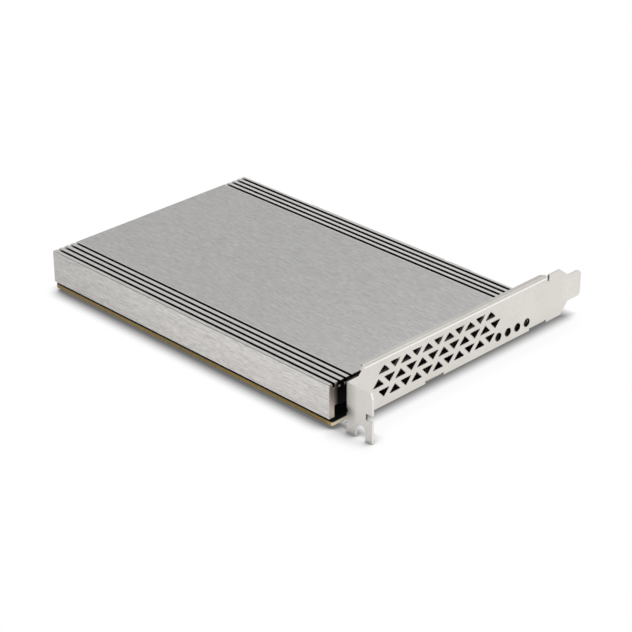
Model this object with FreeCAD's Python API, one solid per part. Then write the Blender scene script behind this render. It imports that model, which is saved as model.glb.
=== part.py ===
# Four-bay M.2 adapter card with a full-height bracket and a one-piece cooling plate.
# +X points out through the bracket, +Y runs from the screw tab to the tongue and +Z is the
# component side.  The sizes below are laid out with Z = 0 on the solder side of the board,
# X = 0 on the outside of the bracket and Y = 0 on the outside of the screw tab.  Every piece
# is saved about one datum, the centre of the forked screw slot in the middle of the tab sheet.
import math
import os

import FreeCAD
import Part

V = FreeCAD.Vector

# ---------------------------------------------------------------- driving dimensions, mm
# circuit board
board_thickness = 1.57
board_near = -4.2              # edge behind the bracket
board_bottom = 106.3           # long edge that carries the slot contacts
board_side_inset = 0.15        # the cooling plate stands this far past the board's top edge
board_end_inset = 0.4          # and this far past its far end
board_corner = 0.8
mill_radius = 0.6              # inner corners of the milled outline
small_radius = 0.3
slot_edge_corner = 0.9

# slot edge of the board
slot_edge_depth = 8.25         # the contact tongue below the long edge
key_from_bracket = 59.05       # bracket face to the middle of the key slot
key_width = 1.9
key_depth = 7.0
short_segment = 11.65
long_segment = 71.65
contact_pitch = 1.0
contact_width = 0.7
contact_length = 5.6
contact_plating = 0.04
edge_bevel = 0.45
short_contacts = (17, 31, 48, 81)
contact_step_back = 1.2        # short contacts end this far behind the others
hook_gap = 2.3
hook_width = 3.6
hook_drop = 5.4
hook_root = 1.2
hook_toe = 1.4

# folded bracket
sheet = 0.86
bracket_length = 120.02
face_width = 18.42
bend_inside = 0.5
tab_depth = 11.43
tab_step = 2.6                 # the face is this much narrower beside the tab
step_start = 5.4
step_end = 8.0
face_relief = 1.2              # the face is cut back this far from the tab below their bend
prong_drop = 2.9               # the prongs reach this far past the lower edge of the face
fork_width = 4.42
fork_centre = 6.3
fork_depth = 5.3
tab_notch_depth = 2.8
tab_notch_height = 2.5
tab_notch_above_edge = 5.1
tab_bend_above_edge = 6.0
tab_bend_clear = 1.4           # free corner under the bend of the tab
tab_corner_width = 0.8         # corner cut off the top of the tab
tab_corner_height = 2.4
tab_foot_inset = 0.1
punch_radius = 0.3
tongue_width = 10.19
tongue_above_edge = 4.35
neck_at = 113.1
lower_shoulder_at = 109.2
upper_shoulder_at = 108.1
flange_reach = 2.6
flange_start = 8.4
flange_end = 101.0
flange_setback = 0.5           # the flange itself stops this much before its relief slit
flange_nose = 0.9              # corner cut off each end of the flange
relief_width = 0.9
relief_depth = 1.0
flange_relief_depth = 2.2

# ears that carry the bracket on the board
ear_centres = (42.45, 96.6)
ear_bend_width = 7.4
ear_width = 6.0
ear_reach = 10.6
ear_neck = 1.0                 # length over which an ear narrows behind its bend
ear_neck_radius = 0.6
ear_corner = 2.2
ear_hole_in = 7.4              # bracket face to the middle of the ear hole

# air vents and status lamp holes
vent_base = 4.9
vent_height = 2.65
vent_pitch = 5.31
vent_row_pitch = 4.62
vent_middle = 44.1
vent_mid_row_above_edge = 8.12
vent_rows = ((1, 11, 0), (0, 12, 0), (-1, 11, 1))    # row, count, first one upside down
lamp_hole = 3.0
lamp_first = 75.2
lamp_pitch = 5.08
lamp_above_edge = 3.8

# cooling plate
plate_near = -5.3
plate_length = 143.3
plate_strip = 12.95            # open board between the plate and the slot-edge side
plate_gap = 0.7                # shadow gap between the board and the side walls
plate_height = 12.6
plate_wall = 2.4
plate_side_room = 0.2          # free room between the outer bays and the side walls
plate_crown = 8.2              # solid metal above the cavity
plate_chamfer = 0.35
cavity_radius = 0.5
groove_count = 4
groove_edge = 2.05
groove_pitch = 2.69
groove_width = 1.05
groove_depth = 1.7
boss_diameter = 5.2
boss_near_inset = 11.9         # plate ends to the middle of the bosses
boss_far_inset = 4.0
boss_side_inset = 5.8          # plate side to the middle of the outer bosses
boss_bore_extra = 1.2          # the thread hole runs this much past the screw's tip

# screws
screw_diameter = 2.5
screw_clearance = 0.35
screw_head = 4.8
screw_head_height = 1.3
screw_bite = 3.2               # thread length in the bosses
screw_tip = 0.6                # bracket screws end this much past the ear
head_chamfer = 0.4
recess_width = 0.62            # cross recess: arm thickness
recess_span = 2.6
recess_depth = 0.75
thread_gap = 0.04

# M.2 bays
bay_count = 4
module_length = 110.0
module_edge = -26.5            # where the edge of a seated module stops
module_lift = 2.45             # board face to the underside of a module
spare_lengths = (60.0, 80.0)
socket_width = 21.9
socket_side_gap = 0.8          # between the sockets of neighbouring bays
socket_height = 4.2
socket_depth = 8.7
socket_back = 4.7              # stop of the module to the back of the socket
socket_slot_height = 1.0
socket_cheek = 0.9             # wall at each end of the slot
socket_lip = 1.6               # the lower jaw stands this much past the upper one
socket_slot_sink = 0.1         # the slot floor lies this far under a module
socket_stop_gap = 0.3
socket_funnel = 1.2            # the slot opens wider over this length
socket_funnel_rise = 0.5
socket_key_offset = 6.125
socket_key_width = 1.1
socket_key_setback = 0.6
tail_rebate = 1.0
tail_rebate_height = 0.5
tail_pitch = 0.5
tail_width = 0.22
tail_length = 0.6
tail_thickness = 0.15
tails_per_row = 37
keyed_tails = (29, 30, 31, 32)

# stand-off posts and their screws
post_diameter = 5.0
post_shank = 3.0
post_thread = 2.0
post_screw_head = 4.4
post_screw_head_height = 0.9
post_screw_length = 3.0
post_recess_span = 1.9
post_recess_width = 0.45
post_recess_depth = 0.5

# thermal pads
pad_thickness = 0.5
pad_length = 96.0
pad_side_room = 1.35           # from the edge of a bay to its pad

# status lamps
lamp_block_height = 3.8
lamp_block_depth = 3.3
lamp_setback = 0.6             # bracket inside face to the front of the block
lamp_block_margin = 2.1
lamp_foot_depth = 4.4
lamp_foot_height = 4.2
lamp_foot_inset = 0.4
lamp_lens = 2.4
lamp_lens_depth = 1.6
lamp_lens_sink = 0.2           # the lens ends this much inside its pocket
lamp_slit = 0.5
lamp_slit_depth = 1.2

# power parts, one set for each bay
inductor_size = 6.6
inductor_height = 3.0
inductor_chamfer = 0.35
inductor_lift = 0.2            # board to the moulded body, the thickness of its lugs
inductor_lug = 0.25            # a lug stands this far out of the body
inductor_lug_tuck = 1.05       # and reaches this far under it
inductor_lug_width = 3.2
converter_size = 4.0
converter_height = 0.9
polymer_size = (3.5, 2.8, 1.9)
polymer_turned = (2.8, 3.5, 1.9)
inductor_spot = (-14.4, -1.5)  # place along X, then offset from the middle of the bay
converter_spot = (-12.8, 4.6)
polymer_spot = (-12.6, 9.0)
polymer_turned_spot = (-19.55, 3.4)
chip_spots = ((-16.2, 2.6), (-16.2, 3.6), (-16.2, 4.6))

# parts on the open strip beside the slot edge
can_diameter = 6.3
can_height = 5.8
can_base = 6.6
can_base_height = 0.9
can_base_cut = 1.2
can_neck_depth = 0.3
can_neck_height = 1.0
cans_x = (-30.5, -39.5)
fuse_x = -48.5
clock_x = -66.0
memory_x = -86.0
clock_size = 5.0
pin_dot = 0.5
pin_dot_depth = 0.05
pin_dot_inset = 0.7
memory_body = (4.9, 3.9, 1.5)
memory_pitch = 1.27
memory_leg = 0.4
memory_lift = 0.1
memory_chamfer = 0.3
memory_knee = 0.8              # side of the body to the outside of the leg's drop
memory_knee_height = 0.8
memory_toe = 0.4
memory_tuck = 0.15             # a leg starts this far inside the body
leg_sheet = 0.2
fuse_size = (4.5, 3.2, 1.0)

# small ceramic parts
chip_small = (1.0, 0.5, 0.5)
chip_turned = (0.5, 1.0, 0.5)
underside_chips = 9
underside_pitch = 2.0
underside_setback = 1.6        # socket back to the row of chips under the board

# working allowances
past = 1.0                     # cutters run this far past the faces that they open
hair = 0.01                    # keeps a full round end from closing on itself

# ---------------------------------------------------------------- derived positions
component_face = board_thickness
edge_low = component_face                  # the lower edge of the face lies on the board
edge_high = edge_low + face_width
bend_outside = bend_inside + sheet
tab_top = edge_high - tab_step
tab_foot = edge_low - prong_drop
tab_bend_low = edge_low + tab_bend_above_edge
tongue_low = edge_low + tongue_above_edge
tongue_high = tongue_low + tongue_width
lamp_z = edge_low + lamp_above_edge
bay_pitch = socket_width + socket_side_gap
socket_slot_width = socket_width - 2 * socket_cheek
pad_width = bay_pitch - 2 * pad_side_room
plate_width = bay_count * bay_pitch + 2 * (plate_wall + plate_side_room)
plate_far = plate_near - plate_length
plate_other_side = board_bottom - plate_strip
plate_side = plate_other_side - plate_width
board_top = plate_side + board_side_inset
board_far = plate_far + board_end_inset
plate_low = component_face + plate_gap
plate_high = plate_low + plate_height
ceiling = plate_high - plate_crown
bay_middle = plate_side + plate_width / 2
bay_centres = [bay_middle + (i - (bay_count - 1) / 2) * bay_pitch for i in range(bay_count)]
post_x = module_edge - module_length
socket_x_back = module_edge + socket_back
socket_x_mouth = socket_x_back - socket_depth
boss_near = plate_near - boss_near_inset
boss_far = plate_far + boss_far_inset
boss_rows = (plate_side + boss_side_inset, bay_middle, plate_other_side - boss_side_inset)
boss_points = [(x, y) for x in (boss_near, boss_far) for y in boss_rows]
ear_points = [(-ear_hole_in, y) for y in ear_centres]
lamp_centres = [lamp_first + i * lamp_pitch for i in range(4)]
contact_edge = board_bottom + slot_edge_depth
contact_root = contact_edge - 2.4 * edge_bevel
strip_middle = (plate_other_side + board_bottom) / 2
segment_start = -key_from_bracket + key_width / 2 + short_segment
segment_end = -key_from_bracket - key_width / 2 - long_segment
hook_near = segment_end - hook_gap
hook_far = hook_near - hook_width
key_near = -key_from_bracket + key_width / 2
key_far = -key_from_bracket - key_width / 2
fork_seat = tab_foot + fork_depth - fork_width / 2
datum = V(fork_centre, sheet / 2, fork_seat)


# ---------------------------------------------------------------- shape helpers
def block(x0, x1, y0, y1, z0, z1):
    return Part.makeBox(x1 - x0, y1 - y0, z1 - z0, V(x0, y0, z0))


def centred_block(x, y, z0, size):
    return block(x - size[0] / 2, x + size[0] / 2, y - size[1] / 2, y + size[1] / 2, z0, z0 + size[2])


def round_bar(x, y, z0, z1, diameter):
    return Part.makeCylinder(diameter / 2, z1 - z0, V(x, y, z0))


def outline(corners, place):
    """Closed face from (u, v, corner radius) points; place(u, v) puts a point in space."""
    edges = []
    last = None
    first = None
    for i, (u, v, radius) in enumerate(corners):
        here = V(u, v, 0)
        before = V(corners[i - 1][0], corners[i - 1][1], 0) - here
        after = V(corners[(i + 1) % len(corners)][0], corners[(i + 1) % len(corners)][1], 0) - here
        before.normalize()
        after.normalize()
        half = before.getAngle(after) / 2
        run = radius / math.tan(half)
        enter = here + before * run
        leave = here + after * run
        if last is None:
            first = enter
        else:
            edges.append(Part.makeLine(place(last.x, last.y), place(enter.x, enter.y)))
        if radius > 0:
            middle = before + after
            middle.normalize()
            middle = here + middle * (radius / math.sin(half) - radius)
            arc = Part.Arc(place(enter.x, enter.y), place(middle.x, middle.y), place(leave.x, leave.y))
            edges.append(arc.toShape())
        last = leave
    edges.append(Part.makeLine(place(last.x, last.y), place(first.x, first.y)))
    return Part.Face(Part.Wire(edges))


def plan_shape(corners, z0, z1):
    return outline(corners, lambda u, v: V(u, v, z0)).extrude(V(0, 0, z1 - z0))


def face_shape(corners, x0, x1):
    return outline(corners, lambda u, v: V(x0, u, v)).extrude(V(x1 - x0, 0, 0))


def tab_shape(corners, y0, y1):
    return outline(corners, lambda u, v: V(u, y0, v)).extrude(V(0, y1 - y0, 0))


def fold(leg, place, sweep):
    """Sheet bent through a right angle about the outer corner (0, 0) of a local plane.  The leg
    runs along +u, a short root along +v sinks into the flat face, and sweep is the fold's width."""
    root = bend_outside + sheet
    points = [(0, root), (0, bend_outside), (bend_outside, 0), (leg, 0)]
    points += [(leg, sheet), (bend_outside, sheet), (sheet, bend_outside), (sheet, root)]
    spread = math.sqrt(0.5)
    outer_mid = bend_outside - bend_outside * spread
    inner_mid = bend_outside - bend_inside * spread
    spots = [place(u, v) for u, v in points]
    edges = [
        Part.makeLine(spots[0], spots[1]),
        Part.Arc(spots[1], place(outer_mid, outer_mid), spots[2]).toShape(),
        Part.makeLine(spots[2], spots[3]),
        Part.makeLine(spots[3], spots[4]),
        Part.makeLine(spots[4], spots[5]),
        Part.Arc(spots[5], place(inner_mid, inner_mid), spots[6]).toShape(),
        Part.makeLine(spots[6], spots[7]),
        Part.makeLine(spots[7], spots[0]),
    ]
    return Part.Face(Part.Wire(edges)).extrude(sweep)


def turned(x, y, profile):
    """Round solid about a vertical line through (x, y); profile is a list of (radius, z)."""
    points = [V(x + r, y, z) for r, z in profile]
    section = Part.Face(Part.makePolygon(points + [points[0]]))
    return section.revolve(V(x, y, 0), V(0, 0, 1), 360)


def cross_recess(x, y, z_floor, z_open, span, width):
    low = min(z_floor, z_open)
    high = max(z_floor, z_open)
    along = block(x - span / 2, x + span / 2, y - width / 2, y + width / 2, low, high)
    across = block(x - width / 2, x + width / 2, y - span / 2, y + span / 2, low, high)
    return along.fuse(across)


def board_screw(x, y, tip):
    """Pan-head screw with its head under the board and its shank pointing up."""
    head = screw_head / 2
    shank = screw_diameter / 2
    profile = [(0, -screw_head_height), (head - head_chamfer, -screw_head_height)]
    profile += [(head, -screw_head_height + head_chamfer), (head, 0), (shank, 0), (shank, tip), (0, tip)]
    recess = cross_recess(x, y, recess_depth - screw_head_height, -screw_head_height - past,
                          recess_span, recess_width)
    return turned(x, y, profile).cut(recess)


def save(name, shapes):
    if not isinstance(shapes, list):
        shapes = [shapes]
    solids = [s for shape in shapes for s in shape.Solids]
    result = solids[0] if len(solids) == 1 else Part.makeCompound(solids)
    result.translate(-datum)
    result.exportStep("parts/" + name + ".step")


# ---------------------------------------------------------------- circuit board
def make_board():
    corners = [
        (board_near, board_top, board_corner),
        (board_near, board_bottom, board_corner),
        (segment_start, board_bottom, mill_radius),
        (segment_start, contact_edge, slot_edge_corner),
        (key_near, contact_edge, small_radius),
        (key_near, contact_edge - key_depth, key_width / 2 - hair),
        (key_far, contact_edge - key_depth, key_width / 2 - hair),
        (key_far, contact_edge, small_radius),
        (segment_end, contact_edge, slot_edge_corner),
        (segment_end, board_bottom + hook_root, mill_radius),
        (hook_near, board_bottom + hook_root, mill_radius),
        (hook_near, board_bottom + hook_drop - hook_toe, small_radius),
        (hook_near + hook_toe, board_bottom + hook_drop - hook_toe / 2, small_radius),
        (hook_near + hook_toe, board_bottom + hook_drop, small_radius),
        (hook_far, board_bottom + hook_drop, slot_edge_corner),
        (hook_far, board_bottom, mill_radius),
        (board_far, board_bottom, board_corner),
        (board_far, board_top, board_corner),
    ]
    board = plan_shape(corners, 0, board_thickness)
    for side in (0, 1):
        z_flat = board_thickness if side else 0
        z_in = z_flat - edge_bevel if side else edge_bevel
        wedge = [V(0, contact_root, z_flat), V(0, contact_edge + past, z_flat)]
        wedge += [V(0, contact_edge + past, z_in), V(0, contact_edge, z_in), wedge[0]]
        cutter = Part.Face(Part.makePolygon(wedge)).extrude(V(hook_far, 0, 0))
        board = board.cut(cutter)
    holes = []
    for x, y in boss_points + ear_points:
        holes.append(round_bar(x, y, -past, board_thickness + past, screw_diameter + screw_clearance))
    for y in bay_centres:
        for length in spare_lengths + (module_length,):
            holes.append(round_bar(module_edge - length, y, -past, board_thickness + past, post_shank))
    return board.cut(Part.makeCompound(holes))


def make_edge_contacts(z0, z1, short_ones):
    pads = []
    number = 0
    runs = ((segment_start, short_segment, 11), (key_far, long_segment, 71))
    for start, length, count in runs:
        margin = (length - (count - 1) * contact_pitch) / 2
        for i in range(count):
            number += 1
            x = start - margin - i * contact_pitch
            tip = contact_root - contact_step_back if number in short_ones else contact_root
            pads.append(block(x - contact_width / 2, x + contact_width / 2,
                              tip - contact_length, tip, z0, z1))
    return pads


# ---------------------------------------------------------------- folded bracket
def vent(y, z_base, upside_down):
    z_tip = z_base - vent_height if upside_down else z_base + vent_height
    half = vent_base / 2
    corners = [(y - half, z_base, 0), (y + half, z_base, 0), (y, z_tip, 0)]
    return face_shape(corners, -sheet - past, past)


def make_bracket():
    # flat face with the step beside the tab, the shoulders and the tongue
    face_start = bend_outside
    under_flange = edge_high - bend_outside
    corners = [
        (face_start, edge_low, 0),
        (lower_shoulder_at, edge_low, 0.5),
        (neck_at, tongue_low, 0.5),
        (bracket_length, tongue_low, 1.3),
        (bracket_length, tongue_high, 2.0),
        (neck_at, tongue_high, 0.5),
        (upper_shoulder_at, edge_high, 0.5),
        (flange_end, edge_high, 0),
        (flange_end, under_flange, 0),
        (flange_start, under_flange, 0),
        (flange_start, edge_high, 0),
        (step_end, edge_high, 0.4),
        (step_start, tab_top, 0.6),
        (face_start, tab_top, 0),
    ]
    bracket = face_shape(corners, -sheet, 0)
    # stiffening flange folded inward along the upper edge
    flange = fold(flange_reach, lambda u, v: V(-u, flange_start, edge_high - v),
                  V(0, flange_end - flange_start, 0))
    for y, side in ((flange_start, 1), (flange_end - flange_setback, -1)):
        outside = y - side * past
        corner = [(-flange_reach - past, outside, 0), (-bend_outside, outside, 0)]
        corner += [(-bend_outside, y, 0)]
        corner += [(-flange_reach + flange_nose, y, 0), (-flange_reach, y + side * flange_nose, 0)]
        corner += [(-flange_reach - past, y + side * flange_nose, 0)]
        flange = flange.cut(plan_shape(corner, under_flange, edge_high + past))
    bracket = bracket.fuse(flange)
    slit = block(-sheet - past, past, flange_end, flange_end + relief_width,
                 edge_high - flange_relief_depth, edge_high + past)
    bracket = bracket.cut(slit)
    # screw tab folded outward, forked for the case screw
    tab = fold(tab_depth + sheet, lambda u, v: V(-sheet + u, v, tab_bend_low),
               V(0, 0, tab_top - tab_bend_low))
    tab = tab.fuse(block(bend_outside - sheet, tab_depth, 0, sheet, tab_foot, tab_bend_low))
    tab = tab.fuse(block(tab_foot_inset, bend_outside - sheet, 0, sheet,
                         tab_foot, tab_bend_low - tab_bend_clear))
    beyond = tab_depth + past
    corner_low = tab_top - tab_corner_height
    corner_start = tab_depth - tab_corner_width
    top_corner = [(corner_start, tab_top + past, 0), (corner_start, tab_top, 0)]
    top_corner += [(tab_depth, corner_low, 0), (beyond, corner_low, 0), (beyond, tab_top + past, 0)]
    tab = tab.cut(tab_shape(top_corner, -past, sheet + past))
    notch_low = edge_low + tab_notch_above_edge
    notch_high = notch_low + tab_notch_height
    notch_seat = tab_depth - tab_notch_depth
    notch = [(notch_seat, notch_low, punch_radius), (beyond, notch_low, 0)]
    notch += [(beyond, notch_high, 0), (notch_seat, notch_high, punch_radius)]
    tab = tab.cut(tab_shape(notch, -past, sheet + past))
    arm = fork_width / 2
    fork_top = fork_seat + arm
    fork = [(fork_centre - arm, tab_foot - past, 0), (fork_centre + arm, tab_foot - past, 0)]
    fork += [(fork_centre + arm, fork_top, arm - hair), (fork_centre - arm, fork_top, arm - hair)]
    tab = tab.cut(tab_shape(fork, -past, sheet + past))
    bracket = bracket.fuse(tab)
    bracket = bracket.cut(block(-past, bend_outside - sheet, sheet + tab_foot_inset,
                                bend_outside + face_relief, edge_low - past, tab_bend_low))
    # ears folded inward on to the board, each between two relief slits
    for y in ear_centres:
        gap_low = y - ear_bend_width / 2
        gap_high = y + ear_bend_width / 2
        bracket = bracket.cut(block(-sheet - past, past, gap_low - relief_width, gap_high + relief_width,
                                    edge_low - past, edge_low + relief_depth))
        bracket = bracket.cut(block(-sheet - past, past, gap_low, gap_high,
                                    edge_low - past, edge_low + bend_outside))
        ear = fold(ear_reach, lambda u, v: V(-u, gap_low, edge_low + v),
                   V(0, ear_bend_width, 0))
        side = ear_width / 2
        root = -bend_outside
        neck = root - ear_neck
        trim = [(root, gap_low, 0), (past, gap_low, 0), (past, gap_high, 0), (root, gap_high, 0)]
        trim += [(neck, y + side, ear_neck_radius), (-ear_reach, y + side, ear_corner)]
        trim += [(-ear_reach, y - side, ear_corner), (neck, y - side, ear_neck_radius)]
        over_ear = edge_low + bend_outside + sheet + past
        ear = ear.common(plan_shape(trim, edge_low - past, over_ear))
        ear = ear.cut(round_bar(-ear_hole_in, y, edge_low - past, over_ear, screw_diameter + thread_gap))
        bracket = bracket.fuse(ear)
    bracket = bracket.removeSplitter()
    # three rows of air vents and the lamp holes
    cuts = []
    for row, count, flip in vent_rows:
        middle = edge_low + vent_mid_row_above_edge + row * vent_row_pitch
        for i in range(count):
            y = vent_middle + (i - (count - 1) / 2) * vent_pitch
            upside_down = (i + flip) % 2 == 1
            base = middle + vent_height if upside_down else middle
            cuts.append(vent(y, base, upside_down))
    for y in lamp_centres:
        inside = V(-sheet - past, y, lamp_z)
        cuts.append(Part.makeCylinder(lamp_hole / 2, sheet + 2 * past, inside, V(1, 0, 0)))
    return bracket.cut(Part.makeCompound(cuts))


# ---------------------------------------------------------------- cooling plate
def make_heat_sink():
    inner_low = plate_side + plate_wall
    inner_high = plate_other_side - plate_wall
    c = plate_chamfer
    corners = [
        (plate_side, plate_low, 0),
        (inner_low, plate_low, 0),
        (inner_low, ceiling, cavity_radius),
        (inner_high, ceiling, cavity_radius),
        (inner_high, plate_low, 0),
        (plate_other_side, plate_low, 0),
        (plate_other_side, plate_high - c, 0),
        (plate_other_side - c, plate_high, 0),
    ]
    floor = plate_high - groove_depth
    offsets = [groove_edge + i * groove_pitch for i in range(groove_count)]
    for offset in offsets:
        middle = plate_other_side - offset
        corners += [(middle + groove_width / 2, plate_high, 0), (middle + groove_width / 2, floor, 0)]
        corners += [(middle - groove_width / 2, floor, 0), (middle - groove_width / 2, plate_high, 0)]
    for offset in reversed(offsets):
        middle = plate_side + offset
        corners += [(middle + groove_width / 2, plate_high, 0), (middle + groove_width / 2, floor, 0)]
        corners += [(middle - groove_width / 2, floor, 0), (middle - groove_width / 2, plate_high, 0)]
    corners += [(plate_side + c, plate_high, 0), (plate_side, plate_high - c, 0)]
    plate = face_shape(corners, plate_far, plate_near)
    for x, side in ((plate_near, -1), (plate_far, 1)):
        start = plate_side - past
        wedge = [V(x, start, plate_high - c), V(x, start, plate_high + past)]
        wedge += [V(x + side * c, start, plate_high + past), V(x + side * c, start, plate_high)]
        wedge.append(wedge[0])
        plate = plate.cut(Part.Face(Part.makePolygon(wedge)).extrude(V(0, plate_width + 2 * past, 0)))
    for x, y in boss_points:
        plate = plate.fuse(round_bar(x, y, component_face, ceiling, boss_diameter))
    plate = plate.removeSplitter()
    bore_end = component_face + screw_bite + boss_bore_extra
    for x, y in boss_points:
        plate = plate.cut(round_bar(x, y, component_face, bore_end, screw_diameter + thread_gap))
    return plate


# ---------------------------------------------------------------- M.2 bays
def make_socket(y):
    slot_floor = component_face + module_lift - socket_slot_sink
    slot_roof = slot_floor + socket_slot_height
    top = component_face + socket_height
    body_side = socket_width / 2
    slot_side = socket_slot_width / 2
    lip = socket_x_mouth + socket_lip
    slot_back = module_edge + socket_stop_gap
    lower = block(socket_x_mouth, socket_x_back, y - body_side, y + body_side, component_face, slot_floor)
    upper = block(lip, socket_x_back, y - body_side, y + body_side, slot_floor, top)
    body = lower.fuse(upper)
    body = body.cut(block(socket_x_mouth - past, slot_back, y - slot_side, y + slot_side,
                          slot_floor, slot_roof))
    body = body.cut(block(socket_x_mouth - past, lip + socket_funnel, y - slot_side, y + slot_side,
                          slot_floor + hair, slot_roof + socket_funnel_rise))
    # shallow rebates under the front and the back for the solder tails
    for x0, x1 in ((socket_x_mouth - past, socket_x_mouth + tail_rebate),
                   (socket_x_back - tail_rebate, socket_x_back + past)):
        body = body.cut(block(x0, x1, y - slot_side, y + slot_side, component_face - past,
                              component_face + tail_rebate_height))
    key_y = y + socket_key_offset
    body = body.fuse(block(lip + socket_key_setback, slot_back, key_y - socket_key_width / 2,
                           key_y + socket_key_width / 2, slot_floor, slot_roof + socket_funnel_rise))
    return body.removeSplitter()


def make_socket_contacts(y):
    """The row of solder tails behind a socket; the keyed positions have none."""
    parts = []
    for i in range(tails_per_row):
        if i in keyed_tails:
            continue
        tail_y = y + (i - (tails_per_row - 1) / 2) * tail_pitch
        parts.append(block(socket_x_back - tail_rebate, socket_x_back + tail_length,
                           tail_y - tail_width / 2, tail_y + tail_width / 2,
                           component_face, component_face + tail_thickness))
    return parts


def make_post(y):
    top = component_face + module_lift
    flange = post_diameter / 2
    shank = post_shank / 2
    bore = (post_thread + thread_gap) / 2
    profile = [(bore, 0), (shank, 0), (shank, component_face), (flange, component_face)]
    profile += [(flange, top), (bore, top)]
    return turned(post_x, y, profile)


def make_post_screw(y):
    seat = component_face + module_lift
    crown = seat + post_screw_head_height
    tip = seat - post_screw_length
    head = post_screw_head / 2
    shank = post_thread / 2
    profile = [(0, crown), (head, crown), (head, seat), (shank, seat), (shank, tip), (0, tip)]
    recess = cross_recess(post_x, y, crown - post_recess_depth, crown + past,
                          post_recess_span, post_recess_width)
    return turned(post_x, y, profile).cut(recess)


def make_pad(y):
    middle = (socket_x_mouth + post_x) / 2
    return centred_block(middle, y, ceiling - pad_thickness, (pad_length, pad_width, pad_thickness))


# ---------------------------------------------------------------- status lamps
lamp_front = -sheet - lamp_setback
lamp_back = lamp_front - lamp_block_depth


def make_lamp_block():
    y0 = lamp_centres[0] - lamp_block_margin
    y1 = lamp_centres[-1] + lamp_block_margin
    foot_y0 = y0 + lamp_foot_inset
    foot_y1 = plate_other_side - plate_wall - lamp_foot_inset
    z0 = lamp_z - lamp_block_height / 2
    body = block(lamp_back, lamp_front, y0, y1, z0, z0 + lamp_block_height)
    body = body.fuse(block(lamp_back - lamp_foot_depth, lamp_back, foot_y0, foot_y1,
                           component_face, component_face + lamp_foot_height))
    body = body.removeSplitter()
    for y in lamp_centres:
        pocket = Part.makeCylinder(lamp_lens / 2, lamp_lens_depth, V(lamp_front, y, lamp_z), V(-1, 0, 0))
        body = body.cut(pocket)
    for y in lamp_centres[:-1]:
        split = y + lamp_pitch / 2
        body = body.cut(block(lamp_front - lamp_slit_depth, lamp_front + past, split - lamp_slit / 2,
                              split + lamp_slit / 2, z0 - past, z0 + lamp_block_height + past))
    return body


def make_lamp(y):
    length = lamp_lens_depth - lamp_lens_sink
    seat = lamp_front - lamp_lens_depth
    return Part.makeCylinder(lamp_lens / 2, length, V(seat, y, lamp_z), V(1, 0, 0))


# ---------------------------------------------------------------- electronic parts
def make_inductor(x, y):
    under = component_face + inductor_lift
    top = component_face + inductor_height
    body = centred_block(x, y, under, (inductor_size, inductor_size, inductor_height - inductor_lift))
    edges = [e for e in body.Edges if e.BoundBox.ZMax > top - hair]
    body = body.makeChamfer(inductor_chamfer, edges)
    lug_length = inductor_lug + inductor_lug_tuck
    for side in (-1, 1):
        middle = x + side * (inductor_size / 2 + (inductor_lug - inductor_lug_tuck) / 2)
        lug = centred_block(middle, y, component_face, (lug_length, inductor_lug_width, inductor_lift))
        body = body.fuse(lug)
    return body.removeSplitter()


def make_flat_pack(x, y, size, height):
    body = centred_block(x, y, component_face, (size, size, height))
    top = component_face + height
    dot_x = x - size / 2 + pin_dot_inset
    dot_y = y - size / 2 + pin_dot_inset
    return body.cut(round_bar(dot_x, dot_y, top - pin_dot_depth, top + past, pin_dot))


def make_memory(x, y):
    length, width, height = memory_body
    body = centred_block(x, y, component_face + memory_lift, (length, width, height - memory_lift))
    edges = [e for e in body.Edges if e.BoundBox.ZMin > component_face + height - hair]
    body = body.makeChamfer(memory_chamfer, edges)
    for side in (-1, 1):
        for i in range(4):
            leg_x = x + (i - 1.5) * memory_pitch
            flank = y + side * width / 2
            drop_y = flank + side * (memory_knee - leg_sheet / 2)
            shoulder = centred_block(leg_x, flank + side * (memory_knee - memory_tuck) / 2,
                                     component_face + memory_knee_height - leg_sheet,
                                     (memory_leg, memory_knee + memory_tuck, leg_sheet))
            drop = centred_block(leg_x, drop_y, component_face, (memory_leg, leg_sheet, memory_knee_height))
            toe = centred_block(leg_x, flank + side * (memory_knee + memory_toe / 2 - leg_sheet / 2),
                                component_face, (memory_leg, memory_toe + leg_sheet, leg_sheet))
            body = body.fuse([shoulder, drop, toe])
    return body.removeSplitter()


def make_can(x, y):
    """Plastic base with two cut corners, and the drawn can that is crimped above it."""
    half = can_base / 2
    corners = [(x - half, y - half, 0), (x + half - can_base_cut, y - half, 0)]
    corners += [(x + half, y - half + can_base_cut, 0), (x + half, y + half - can_base_cut, 0)]
    corners += [(x + half - can_base_cut, y + half, 0), (x - half, y + half, 0)]
    low = component_face + can_base_height
    top = component_face + can_height
    base = plan_shape(corners, component_face, low)
    wall = can_diameter / 2
    neck = wall - can_neck_depth
    profile = [(0, low), (wall, low), (wall, low + can_neck_height - can_neck_depth)]
    profile += [(neck, low + can_neck_height), (wall, low + can_neck_height + can_neck_depth)]
    profile += [(wall, top - can_neck_depth), (wall - can_neck_depth, top), (0, top)]
    return base, turned(x, y, profile)


def bay_parts(size, spots, z0):
    return [centred_block(x, y + dy, z0, size) for y in bay_centres for x, dy in spots]


os.makedirs("parts", exist_ok=True)

save("circuit_board", make_board())
save("slot_contacts_component_side",
     make_edge_contacts(component_face, component_face + contact_plating, short_contacts))
save("slot_contacts_solder_side", make_edge_contacts(-contact_plating, 0, (1,)))
save("bracket", make_bracket())
save("bracket_screws", [board_screw(x, y, component_face + sheet + screw_tip) for x, y in ear_points])
save("heat_sink", make_heat_sink())
save("heat_sink_screws", [board_screw(x, y, component_face + screw_bite) for x, y in boss_points])

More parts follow.
